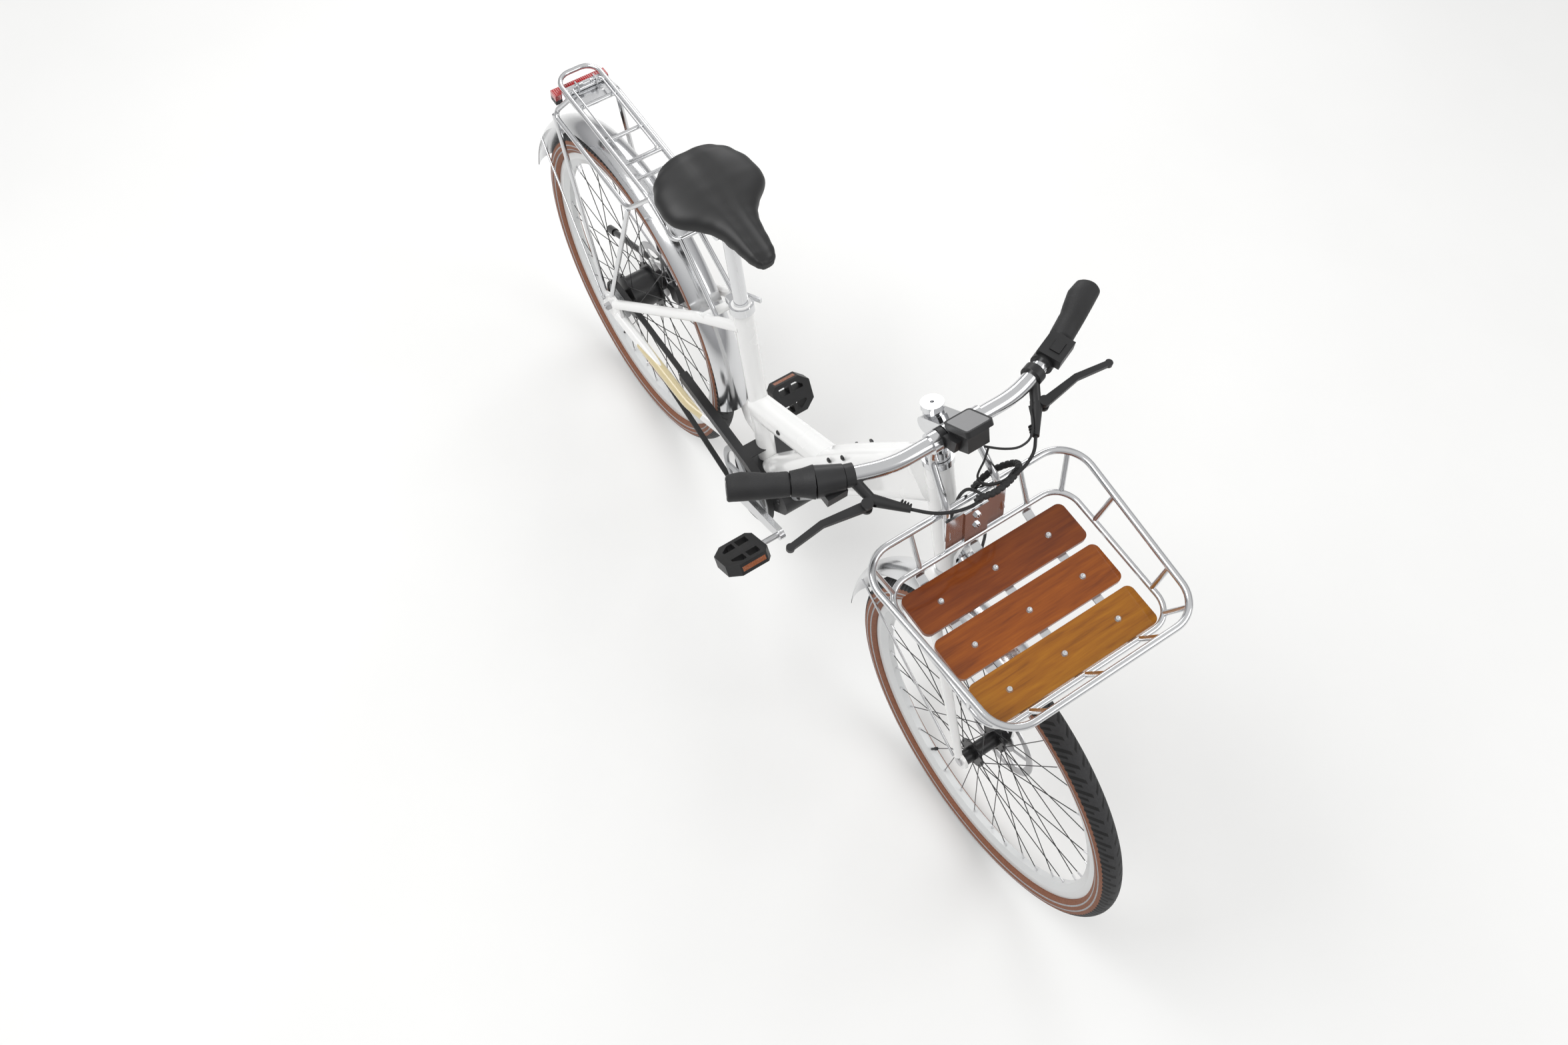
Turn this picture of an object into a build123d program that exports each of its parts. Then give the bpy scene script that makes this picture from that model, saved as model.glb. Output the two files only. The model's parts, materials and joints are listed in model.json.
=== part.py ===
"""City e-bicycle: low step-through frame, mid motor, belt drive, front porter rack, rear rack.

Millimetres. X forward, Y to the rider's left, Z up. Everything is laid out from the point on the
ground under the rear axle and is moved, at the end, so that the origin is under the bicycle's middle.
"""
import os
from math import asin, atan2, cos, degrees, hypot, pi, radians, sin

from build123d import *

# ---- overall layout ---------------------------------------------------------------------------
WHEELBASE = 1223.0
TYRE_R = 358.0            # also the height of both axles
TYRE_HALF = 23.5          # half the tyre's width
CASING = 3.0              # tyre wall
HEAD_ANGLE = 69.5         # degrees from the ground
FORK_OFFSET = 50.0        # axle ahead of the steering axis
BB_X, BB_Z = 502.0, 312.0
SEAT_LEAN = 0.28          # forward travel of the seat tube per unit it goes down
CLAMP_X, CLAMP_Z = 392.0, 757.0   # top of the seat tube
BAR_X, BAR_Z = WHEELBASE - 272.0, 1090.0      # middle of the handlebar
RUN = 0.05                # radial running fit of every shaft in its hole
GAP = 0.4                 # air between bodies that pass each other

# ---- wheels -----------------------------------------------------------------------------------
RIM_R = 317.0
RIM_HALF = 13.0
RIM_DEPTH = 28.0
RIM_WALL = 2.5
SPOKES = 36
SPOKE_R = 0.9
NIPPLE_R = 2.0
NIPPLE_LEN = 12.0
FLANGE_T = 3.4
SPOKE_SIDE = FLANGE_T / 2 + SPOKE_R - 0.3   # a spoke lies on the flange's face, pressed in by 0.3
ROTOR_R = 90.0
ROTOR_T = 2.0
FRONT = dict(half=50.0, barrel=15.0, flange=30.0, flange_y=26.0, rotor_y=39.5, axle=6.0, cross=58.0)
REAR = dict(half=68.75, barrel=40.0, flange=52.0, flange_y=31.0, rotor_y=52.0, axle=5.0, cross=36.0)
DRIVER_Y = -44.0          # inner end of the rear hub's free side
CARRIER_R = 22.0          # disc carrier on the hub, and the disc's centre hole

# ---- drive ------------------------------------------------------------------------------------
BELT_Y = -50.0
BELT_W = 11.0
BELT_T = 5.0
RING_R = 86.0
SPROCKET_R = 40.5
RING_T = 5.0
CRANK_LEN = 170.0
CRANK_ANGLE = 20.7        # right arm above the horizontal
CRANK_Y = 72.0            # inner face of each arm
CRANK_T = 12.0
SPINDLE_R = 12.0
PEDAL_AXLE_R = 6.0
PEDAL_Y = 168.0           # middle of each pedal
PEDAL_W, PEDAL_L, PEDAL_T = 92.0, 88.0, 26.0
PEDAL_PITCH = {"right": -33.0, "left": 60.0}
GUARD_GAP = 6.0
STAND_PIVOT = (-68.0, 320.0)
STAND_PIN_R = 5.0
STAND_Y1 = 92.0
STAND_LEN = 292.0
STAND_ANGLE = 210.5       # folded leg, from straight ahead
MOTOR_R = 60.0
MOTOR_RIGHT, MOTOR_LEFT = -41.0, 50.0
MOTOR_NOSE = (596.0, 372.0, 34.0)  # x, z and radius of the motor's front end

# ---- frame tubes ------------------------------------------------------------------------------
HEAD_R = 23.0
HEAD_BORE = 18.0
STEERER_R = 14.3
CROWN_FROM, CROWN_TO = 414.0, 444.0   # along the steering axis from the fork's foot
HEAD_FROM, HEAD_TO = 456.0, 685.0
CUP_R, CUP_T = 25.5, 11.0
DOWN_W, DOWN_D = 60.0, 90.0
DOWN_WALL = 3.0
DOWN_BOW = 11.0           # how far the down tube arches above its chord
COVER_T, COVER_W, COVER_H = 7.0, 46.0, 30.0
DOWN_LOW = (521.0, 312.0)
DOWN_HIGH = (WHEELBASE - 293.0, 936.0)
SEAT_R = 19.0
POST_R = 13.6
CROSS_W, CROSS_D = 46.0, 58.0
CROSS_END = (717.0, 0.0, 644.0)     # inside the down tube
STAY_R = 11.5
STAY_Y = 72.0
DROPOUT_T = 6.5
NUT_R, NUT_T = 9.5, 11.0

# ---- fenders and racks ------------------------------------------------------------------------
FENDER_R = 392.0
FENDER_HALF = 33.0
FENDER_DROP = 15.0
FENDER_T = 1.6
STAY_WIRE_R = 2.5
REAR_FENDER = (6.0, 171.0)     # degrees about the axle, from straight ahead
FRONT_FENDER = (82.0, 184.0)
RACK_Z = 822.0
RACK_Y = 42.0
RACK_R = 5.0
RACK_BACK, RACK_FRONT = -198.0, 145.0
PANNIER_Y, PANNIER_Z = 68.0, 773.0
CLIP_R = 2.0
CLIP_X, CLIP_REACH, CLIP_HALF = -150.0, 208.0, 31.0
DECK_Z = 898.0                 # top of the wooden slats
SLAT_T = 8.0
SLAT_W, SLAT_PITCH, SLAT_HALF = 73.0, 84.0, 157.0
RAIL_R = 5.0
TOP_RAIL_R = 6.0
LOW_Z, TOP_Z = 910.0, 969.0
LOW_X, LOW_Y = (WHEELBASE - 177.0, WHEELBASE + 93.0), 174.0
TOP_X, TOP_Y = (WHEELBASE - 215.0, WHEELBASE + 119.0), (204.0, 182.0)
SLAT_X0 = LOW_X[0] + 20
STRAP_Y = (-104.0, 0.0, 104.0)
STRAP_W, STRAP_T = 16.0, 2.5
SCREW_R, SCREW_HEAD_R = 2.5, 5.5
RACK_POST_R = 4.4
SEAM_Y = 75.0

RACK_BARS = (-150.0, -106.0, -10.0, 58.0, 100.0)
CLIP_RISE = 9.0
LIGHT_HOLE_X, LIGHT_HOLES = -132.0, 50.0

# ---- seat, fork and handlebar -----------------------------------------------------------------
POST_LOW, POST_TOP = 600.0, 922.0
SADDLE_Z = 940.0
SADDLE = [(207, 34, 976), (217, 58, 984), (238, 81, 988), (268, 94, 988), (300, 98, 986), (322, 95, 983),
          (338, 79, 981), (352, 59, 979), (370, 44, 977), (392, 35, 975), (420, 30, 972), (448, 25, 969),
          (463, 20, 965), (471, 13, 960)]   # x, half width, top
LEVER_X, LEVER_Y = -34.0, 19.0
CROWN_Y, FORK_Y = 46.0, 54.0
STEM_FROM, STEM_TO = 706.0, 802.0
BAR_R = 12.7
BAR_BENDS = [110.0, 190.0, 190.0, 110.0]
GRIP_R = 18.5
LEVER_PIVOT_X, LEVER_Z, LEVER_T = BAR_X + 26, BAR_Z - 20, 7.0
LEVER_PIVOT_Y = {-1: 172.0, 1: 150.0}
HOSE_X, HOSE_Y = BAR_X + 64, {-1: 122.0, 1: 104.0}
LEVER_BEND, LEVER_REACH = 70.0, 128.0
HOSES = [
    ([(1015, 104, 1070), (1034, 88, 1066), (1044, 62, 1056), (1040, 36, 1040), (1026, 22, 1018),
      (1000, 24, 988), (994, 25, 958), (998, 34, 924), (1010, 46, 888), (1016, 56, 848),
      (1020, 64, 806), (1019, 68, 764),
      (1025, 65, 720), (1045, 55, 675), (1079, 54.5, 608), (1112, 56.5, 542), (1145, 54, 476),
      (1151, 46, 426)], 2.6),
    ([(1015, -122, 1070), (1036, -100, 1068), (1048, -70, 1060), (1050, -38, 1048), (1044, -10, 1034),
      (1030, 6, 1014), (1001, 6, 988), (992, 3, 956), (998, -8, 914), (1008, -20, 872)], 2.6),
    ([(1003, 10, 1108), (1018, 30, 1104), (1026, 58, 1092), (1020, 88, 1082), (1000, 110, 1078),
      (974, 122, 1082)], 1.8),
]

REAR_AXLE = (0.0, TYRE_R)
FRONT_AXLE = (WHEELBASE, TYRE_R)
REAR_END = FENDER_R * cos(radians(180 - REAR_FENDER[1]))
ORIGIN_X = (WHEELBASE + TYRE_R - REAR_END) / 2
parts = {}


def add(name, *shapes):
    """Keep the solids of one node."""
    solids = [s for shape in shapes for s in shape.solids()]
    parts[name] = solids[0] if len(solids) == 1 else Compound(children=solids)


def rod(a, b, radius, radius_b=None):
    """A straight round bar from a to b, tapered when a second radius is given."""
    a, b = Vector(*a), Vector(*b)
    plane = Plane(origin=a, z_dir=b - a)
    height = (b - a).length
    if radius_b is None or radius_b == radius:
        return extrude(plane * Circle(radius), height)
    return loft([plane * Circle(radius), plane.offset(height) * Circle(radius_b)])


def tube(points, radius, bends, bore=0.0):
    """A round bar along straight runs joined by arcs, one bend radius for each corner."""
    path = FilletPolyline(*points, radius=bends)
    face = Circle(radius) - Circle(bore) if bore else Circle(radius)
    return sweep(Plane(origin=path @ 0, z_dir=path % 0) * face, path=path)


def sector(section, start, end):
    """A section (radius, y) turned about the Y axis between two angles above straight ahead."""
    return Rot(0, -end, 0) * revolve(section, axis=Axis.Y, revolution_arc=end - start)


def largest(shape):
    return shape.solids().sort_by(SortBy.VOLUME)[-1]


def ring_y(x, z, radius, y0, y1, bore=0.0):
    """A disc or ring whose axis runs along Y, from y0 to y1."""
    face = Circle(radius) - Circle(bore) if bore else Circle(radius)
    return extrude(Plane(origin=(x, y0, z), x_dir=(1, 0, 0), z_dir=(0, 1, 0)) * face, y1 - y0)


def side(points, y0, y1):
    """A flat plate drawn in side view (x, z) and cut from y0 to y1."""
    outline = make_face(Polyline(*[(x, y0, z) for x, z in points], close=True))
    return extrude(outline, y1 - y0, dir=(0, 1, 0))


def capsule(a, b, ra, rb, y0, y1):
    """Two discs in side view joined by their common tangents, cut from y0 to y1."""
    dx, dz = b[0] - a[0], b[1] - a[1]
    length, along = hypot(dx, dz), atan2(dz, dx)
    lean = asin((ra - rb) / length)
    corners = []
    for c, r, signs in ((a, ra, (1, -1)), (b, rb, (-1, 1))):
        for s in signs:
            t = along + s * (pi / 2 - lean)
            corners.append((c[0] + r * cos(t), c[1] + r * sin(t)))
    body = side(corners, y0, y1)
    return body + ring_y(*a, ra, y0, y1) + ring_y(*b, rb, y0, y1)


def flat_arm(a, b, ra, rb, z0, thick):
    """Two discs in plan joined by their common tangents, from z0 up."""
    dx, dy = b.X - a.X, b.Y - a.Y
    along = atan2(dy, dx)
    lean = asin((ra - rb) / hypot(dx, dy))
    corners = []
    for c, r, signs in ((a, ra, (1, -1)), (b, rb, (-1, 1))):
        for s in signs:
            t = along + s * (pi / 2 - lean)
            corners.append((c.X + r * cos(t), c.Y + r * sin(t), z0))
    body = extrude(make_face(Polyline(*corners, close=True)), thick, dir=(0, 0, 1))
    for c, r in ((a, ra), (b, rb)):
        body += extrude(Plane(origin=(c.X, c.Y, z0)) * Circle(r), thick)
    return body


# ---- steering axis frame ----------------------------------------------------------------------
AXIS = Vector(-cos(radians(HEAD_ANGLE)), 0, sin(radians(HEAD_ANGLE)))
AHEAD = Vector(sin(radians(HEAD_ANGLE)), 0, cos(radians(HEAD_ANGLE)))
FOOT = Vector(WHEELBASE, 0, TYRE_R) - AHEAD * FORK_OFFSET
STEER = Plane(origin=FOOT, x_dir=AHEAD, z_dir=AXIS)


def steer_point(ahead, y, along):
    """World point from its place in the steering frame."""
    return FOOT + AHEAD * ahead + Vector(0, y, 0) + AXIS * along


def steer_ring(along0, along1, radius, bore=0.0):
    """A disc or ring round the steering axis."""
    face = Circle(radius) - Circle(bore) if bore else Circle(radius)
    return extrude(STEER.offset(along0) * face, along1 - along0)


# ---- wheels -----------------------------------------------------------------------------------
def wheel(prefix, centre, hub):
    x, z = centre
    place = Pos(x, 0, z)
    tread_r = TYRE_R - TYRE_HALF
    section = Pos(tread_r, 0) * (Circle(TYRE_HALF) - Circle(TYRE_HALF - CASING))
    section -= Pos(RIM_R - TYRE_R / 2, 0) * Rectangle(TYRE_R, 4 * TYRE_HALF)
    add(prefix + "_tyre", place * revolve(section, axis=Axis.Y))

    deep = RIM_R - RIM_DEPTH
    outer = Polygon((RIM_R, RIM_HALF), (RIM_R - 14, RIM_HALF), (deep, 6), (deep, -6),
                    (RIM_R - 14, -RIM_HALF), (RIM_R, -RIM_HALF), align=None)
    w = RIM_WALL
    well = Polygon((RIM_R + 1, RIM_HALF - w), (RIM_R - 14, RIM_HALF - w), (deep + w, 5), (deep + w, -5),
                   (RIM_R - 14, w - RIM_HALF), (RIM_R + 1, w - RIM_HALF), align=None)
    add(prefix + "_rim", place * revolve(outer - well, axis=Axis.Y))

    wires = []
    per_side = SPOKES // 2
    for i in range(SPOKES):
        left = 1 if i % 2 else -1
        out = 1 if (i // 2) % 2 else -1
        turn = 360.0 / SPOKES * i
        hub_y = left * hub["flange_y"] + out * SPOKE_SIDE
        start = turn - out * hub["cross"]
        flange_r = hub["flange"] - 4
        a = (flange_r * cos(radians(start)), hub_y, flange_r * sin(radians(start)))
        b = (deep + 0.8) * cos(radians(turn)), left * 2.2, (deep + 0.8) * sin(radians(turn))
        line = Vector(*b) - Vector(*a)
        neck = Vector(*b) - line.normalized() * NIPPLE_LEN
        wires.append(place * (rod(a, b, SPOKE_R) + rod(neck, b, NIPPLE_R)))
    add(prefix + "_spokes", *wires)

    bore = hub["axle"] + RUN
    fy, half = hub["flange_y"], hub["half"] - GAP
    right_end = DRIVER_Y if prefix == "rear" else -half
    body = ring_y(0, 0, hub["barrel"], -fy, fy)
    for y in (-fy, fy):
        body += ring_y(0, 0, hub["flange"], y - FLANGE_T / 2, y + FLANGE_T / 2)
    body += ring_y(0, 0, CARRIER_R, fy, hub["rotor_y"] + ROTOR_T / 2)
    body += ring_y(0, 0, 12.0, fy, half) + ring_y(0, 0, 14.0, right_end, -fy)
    body -= ring_y(0, 0, bore, -half - 1, half + 1)
    add(prefix + "_hub", place * body)

    disc = ring_y(0, 0, ROTOR_R, hub["rotor_y"] - ROTOR_T / 2, hub["rotor_y"] + ROTOR_T / 2)
    disc -= ring_y(0, 0, ROTOR_R - 16, -100, 100) - ring_y(0, 0, 38, -101, 101)
    disc -= ring_y(0, 0, CARRIER_R, -100, 100)
    for k in range(6):
        t = radians(60 * k)
        far = ROTOR_R - 14
        arm = rod((36 * cos(t), 0, 36 * sin(t)), (far * cos(t + 0.35), 0, far * sin(t + 0.35)), 4)
        band = ring_y(0, 0, ROTOR_R - 10, hub["rotor_y"] - ROTOR_T / 2, hub["rotor_y"] + ROTOR_T / 2)
        disc += (Pos(0, hub["rotor_y"], 0) * arm) & band
    add(prefix + "_rotor", place * disc)


# ---- frame ------------------------------------------------------------------------------------
def seat_x(z):
    return CLAMP_X - SEAT_LEAN * (z - CLAMP_Z)


def seat_point(z, y=0.0):
    return (seat_x(z), y, z)


SEAT_DIR = Vector(-SEAT_LEAN, 0, 1).normalized()


def motor_shape():
    nx, nz, nr = MOTOR_NOSE
    return capsule((BB_X, BB_Z), (nx, nz), MOTOR_R, nr, MOTOR_RIGHT, MOTOR_LEFT)


def down_tube(t0, t1, width, depth, corner):
    """A stretch of the gently arched down tube."""
    return down_sweep(t0, t1, RectangleRounded(width, depth, corner))


def down_sweep(t0, t1, section):
    """A section (y, towards the tube's upper side) carried along a stretch of the down tube."""
    lo, hi = Vector(DOWN_LOW[0], 0, DOWN_LOW[1]), Vector(DOWN_HIGH[0], 0, DOWN_HIGH[1])
    run = (hi - lo).normalized()
    up = Vector(-run.Z, 0, run.X)
    whole = ThreePointArc(lo, (lo + hi) / 2 + up * DOWN_BOW, hi)
    path = ThreePointArc(whole @ t0, whole @ ((t0 + t1) / 2), whole @ t1)
    return sweep(Plane(origin=path @ 0, x_dir=(0, 1, 0), z_dir=path % 0) * section, path=path)


def frame():
    head = steer_ring(HEAD_FROM, HEAD_TO, HEAD_R)
    down = down_tube(0, 1, DOWN_W, DOWN_D, 22)
    inner_w, inner_d = DOWN_W - 2 * DOWN_WALL, DOWN_D - 2 * DOWN_WALL
    hollow = down_tube(0.19, 0.84, inner_w, inner_d, 19)
    cross_a, cross_b = Vector(*seat_point(508)), Vector(*CROSS_END)
    plane = Plane(origin=cross_a, x_dir=(0, 1, 0), z_dir=cross_b - cross_a)
    cross = extrude(plane * RectangleRounded(CROSS_W, CROSS_D, 20), (cross_b - cross_a).length)
    seat = rod(seat_point(330), seat_point(CLAMP_Z), SEAT_R)
    main = head + down + cross + seat
    main -= hollow
    main -= rod(seat_point(430), seat_point(CLAMP_Z + 60), POST_R + RUN)
    main -= steer_ring(HEAD_FROM - 90, HEAD_TO + 90, HEAD_BORE)
    main -= steer_ring(HEAD_TO, HEAD_TO + 120, 90)
    main -= motor_shape()
    add("main_frame", largest(main))
    add("battery_pack", down_tube(0.21, 0.80, inner_w - 3, inner_d - 3, 17))
    strip = Pos(0, COVER_H / 2 - DOWN_D / 2 - COVER_T) * RectangleRounded(COVER_W, COVER_H, 13)
    strip -= RectangleRounded(DOWN_W, DOWN_D, 22)
    add("battery_cover", largest(down_sweep(0.16, 0.48, strip) - motor_shape()))
    add("motor_unit", motor_shape() - ring_y(BB_X, BB_Z, SPINDLE_R + RUN, -200, 200))
    cups = [steer_ring(HEAD_FROM - CUP_T, HEAD_FROM, CUP_R, STEERER_R + RUN),
            steer_ring(HEAD_TO, HEAD_TO + CUP_T, CUP_R, STEERER_R + RUN)]
    add("headset_cups", *cups)
    return seat


def dropout():
    """The left rear dropout plate, on the left with the bracket that carries the kickstand."""
    y = STAY_Y
    corners = [(-30, 330), (-26, 378), (10, 404), (38, 400), (50, 368), (48, 342), (16, 330)]
    plate = side(corners, y - DROPOUT_T / 2, y + DROPOUT_T / 2)
    return plate - ring_y(*REAR_AXLE, REAR["axle"], 0, 200)


def stays(seat):
    y = STAY_Y
    plate = dropout()
    low = tube([(32, y, 356.5), (292, 60, 341), (388, 32, 336), (456, 30, 335)], STAY_R, [120, 90])
    low = low - motor_shape() - plate
    high = tube([(24, y, 386), (318, 45, 662), seat_point(706, 10)], 10.5, [40]) - seat - plate
    arm = side([(-28, 334), (-84, 308), (-84, 330), (-28, 372)], y - DROPOUT_T / 2, y + DROPOUT_T / 2)
    left = plate + arm + ring_y(*STAND_PIVOT, STAND_PIN_R, y, STAND_Y1 + 2)
    left += ring_y(*STAND_PIVOT, STAND_PIN_R + 4, STAND_Y1 + GAP, STAND_Y1 + 4)
    flip = Plane.XZ
    add("chain_stays", largest(low), mirror(largest(low), about=flip), left, mirror(plate, about=flip))
    bridge = rod((330, -46, 672), (330, 46, 672), 9)
    pair = largest(high), mirror(largest(high), about=flip)
    bridge = largest(bridge - pair[0] - pair[1])
    add("seat_stays", pair[0], pair[1], bridge)
    ends = STAY_Y + 16
    nuts = ring_y(*REAR_AXLE, REAR["axle"], -ends, ends)
    for sign in (1, -1):
        face = Plane(origin=(0, sign * (y + DROPOUT_T / 2), TYRE_R), x_dir=(1, 0, 0), z_dir=(0, sign, 0))
        nuts += extrude(face * RegularPolygon(NUT_R, 6), NUT_T)
    add("rear_axle", nuts)

    box = Plane(origin=(71, 50, 393), x_dir=(0.9, 0, 0.436), z_dir=(0, 1, 0))
    caliper = extrude(box * RectangleRounded(34, 42, 5), 8, both=True)
    caliper += Pos(48, 58.4, 375.5) * Box(28, 20.7, 11)
    slot = REAR["rotor_y"]
    caliper -= ring_y(*REAR_AXLE, ROTOR_R + 2, slot - 2, slot + 2)
    caliper -= plate
    add("rear_caliper", largest(caliper))
    return plate, bridge, pair


def kickstand():
    px, pz = STAND_PIVOT
    y0 = STAY_Y + DROPOUT_T / 2 + GAP
    body = ring_y(px, pz, 12, y0, STAND_Y1)
    t = radians(STAND_ANGLE)
    foot = (px + STAND_LEN * cos(t), y0 + 22, pz + STAND_LEN * sin(t))
    start = (px, y0 + 8, pz)
    leg = rod(start, foot, 7.0)
    line = (Vector(*foot) - Vector(*start)).normalized()
    pad = rod(Vector(*foot) - line * 34, foot, 9.5)
    body = body + leg + pad
    body -= ring_y(px, pz, STAND_PIN_R + RUN, 0, 200)
    body -= ring_y(px, pz, 30, STAND_Y1, 200)
    add("kickstand", body)


# ---- drive ------------------------------------------------------------------------------------
def loop_band(inner_off, outer_off, y0, y1):
    """The band between two offsets of the belt's path."""
    outer = capsule((BB_X, BB_Z), REAR_AXLE, RING_R + outer_off, SPROCKET_R + outer_off, y0, y1)
    radii = RING_R + inner_off, SPROCKET_R + inner_off
    return outer - capsule((BB_X, BB_Z), REAR_AXLE, *radii, y0 - 1, y1 + 1)


def drive(seat):
    y0, y1 = BELT_Y - BELT_W / 2, BELT_Y + BELT_W / 2
    add("drive_belt", loop_band(GAP, GAP + BELT_T, y0, y1))

    edge = GAP + BELT_T + GUARD_GAP
    skin = loop_band(edge, edge + 2.5, y0 - 6, y1 + 1)
    wall = capsule((BB_X, BB_Z), REAR_AXLE, RING_R + edge + 2.5, SPROCKET_R + edge + 2.5, y0 - 6, y0 - 4)
    wall -= capsule((BB_X, BB_Z), REAR_AXLE, RING_R - 6, SPROCKET_R - 6, y0 - 7, y0 - 3)
    keep = side([(262, 382), (262, 520), (560, 520), (610, 420), (560, 372)], y0 - 9, y1 + 40)
    tab = loop_band(edge, edge + 2.5, y1, 0) & side([(474, 380), (474, 430), (506, 430), (506, 380)], y0, 1)
    guard = ((skin + wall) & keep) + (tab - seat)
    add("belt_guard", largest(guard))

    bore = REAR["axle"] + RUN
    sprocket = ring_y(*REAR_AXLE, SPROCKET_R, BELT_Y - RING_T / 2, BELT_Y + RING_T / 2)
    sprocket += ring_y(*REAR_AXLE, 13, -STAY_Y + DROPOUT_T / 2 + GAP, DRIVER_Y - GAP)
    for k in range(6):
        t = radians(60 * k)
        sprocket -= ring_y(24 * cos(t), TYRE_R + 24 * sin(t), 4.5, -100, 0)
    sprocket -= ring_y(*REAR_AXLE, bore, -200, 200)
    add("rear_sprocket", sprocket)

    ring = ring_y(BB_X, BB_Z, RING_R, BELT_Y - RING_T / 2, BELT_Y + RING_T / 2, RING_R - 13)
    ring += ring_y(BB_X, BB_Z, 22, -CRANK_Y, BELT_Y + RING_T / 2)
    for k in range(5):
        t = radians(72 * k + CRANK_ANGLE + 36)
        tip = (BB_X + (RING_R - 10) * cos(t), BB_Z + (RING_R - 10) * sin(t))
        ring += capsule((BB_X, BB_Z), tip, 14, 6.5, BELT_Y - RING_T / 2, BELT_Y + RING_T / 2)
    ring -= ring_y(BB_X, BB_Z, SPINDLE_R, -200, 200)
    add("belt_ring", ring)

    end = CRANK_Y + CRANK_T
    shafts = [ring_y(BB_X, BB_Z, SPINDLE_R, -end, end)]
    arms = []
    for name, sign, turn in (("right", -1, 0), ("left", 1, 180)):
        t = radians(CRANK_ANGLE + turn)
        tip = (BB_X + CRANK_LEN * cos(t), BB_Z + CRANK_LEN * sin(t))
        inner, outer = sorted((sign * CRANK_Y, sign * end))
        arm = capsule((BB_X, BB_Z), tip, 19, 12.5, inner, outer)
        arm -= ring_y(BB_X, BB_Z, SPINDLE_R, -200, 200)
        arms.append(arm - ring_y(*tip, PEDAL_AXLE_R, -200, 200))
        near, far = sorted((sign * CRANK_Y, sign * (PEDAL_Y + PEDAL_W / 2 - 8)))
        shafts.append(ring_y(*tip, PEDAL_AXLE_R, near, far))
        pedal(name, sign, tip)
    add("crank_arms", *arms)
    add("crank_axles", *shafts)


def pedal(name, sign, tip):
    """A platform with windows beside its barrel, and a reflector in its front and rear edges."""
    w, l, t = PEDAL_W, PEDAL_L, PEDAL_T
    half_w, half_l = w / 2, l / 2
    outline = [(-half_l, -half_w + 10), (-half_l + 12, -half_w), (half_l - 12, -half_w),
               (half_l, -half_w + 10), (half_l, half_w - 22), (half_l - 20, half_w), (20 - half_l, half_w), (-half_l, half_w - 22)]
    body = extrude(make_face(Polyline(*outline, close=True)), t / 2, both=True)
    hole = Polygon((14, -30), (34, -30), (34, 12), (21, 28), (14, 28), align=None)
    window = extrude(hole, t, both=True) - Pos(24, -2, 0) * Box(30, 7, 3 * t)
    body = body - window - mirror(window, about=Plane.YZ)
    reflectors = [Pos(s * (half_l - 1.5), -6, 0) * Box(3, 52, 11) for s in (-1, 1)]
    for r in reflectors:
        body -= r
    body -= ring_y(0, 0, PEDAL_AXLE_R + RUN, -w, half_w - 7)
    shapes = [Rot(0, PEDAL_PITCH[name], 0) * s for s in [body] + reflectors]
    if sign < 0:
        shapes = [mirror(s, about=Plane.XZ) for s in shapes]
    place = Pos(tip[0], sign * PEDAL_Y, tip[1])
    add(name + "_pedal", place * shapes[0])
    add(name + "_reflectors", *[place * s for s in shapes[1:]])


# ---- fenders and rear rack --------------------------------------------------------------------
def fender_section():
    low, half = FENDER_R - FENDER_DROP, FENDER_HALF - FENDER_T
    outer = ThreePointArc((low, FENDER_HALF), (FENDER_R, 0), (low, -FENDER_HALF))
    inner = ThreePointArc((low, -half), (FENDER_R - FENDER_T, 0), (low, half))
    return make_face([outer, inner, Line(outer @ 1, inner @ 0), Line(inner @ 1, outer @ 0)])


def fender_point(centre, angle, y, radius):
    t = radians(angle)
    return (centre[0] + radius * cos(t), y, centre[1] + radius * sin(t))


def rear_fender(bridge):
    shell = Pos(0, 0, TYRE_R) * sector(fender_section(), *REAR_FENDER)
    shell += rod(fender_point(REAR_AXLE, 43.6, 0, FENDER_R - 1), (330, 0, 672), 5) - bridge
    y0 = STAY_Y + DROPOUT_T / 2
    y = y0 + STAY_WIRE_R + 2.4
    for sign in (1, -1):
        edge = fender_point(REAR_AXLE, 152, sign * (FENDER_HALF - 1), FENDER_R - FENDER_DROP + 1)
        shell += rod((-20, sign * y, TYRE_R + 6), edge, STAY_WIRE_R)
        shell += ring_y(-20, TYRE_R + 6, 4, *sorted((sign * y0, sign * (y + 3))))
    add("rear_fender", largest(shell))


def rack_rail(points, radius, bends):
    """A rail on the left joined, across the middle plane, to its mirror image on the right."""
    half = tube(points, radius, bends)
    return half + mirror(half, about=Plane.XZ)


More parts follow.
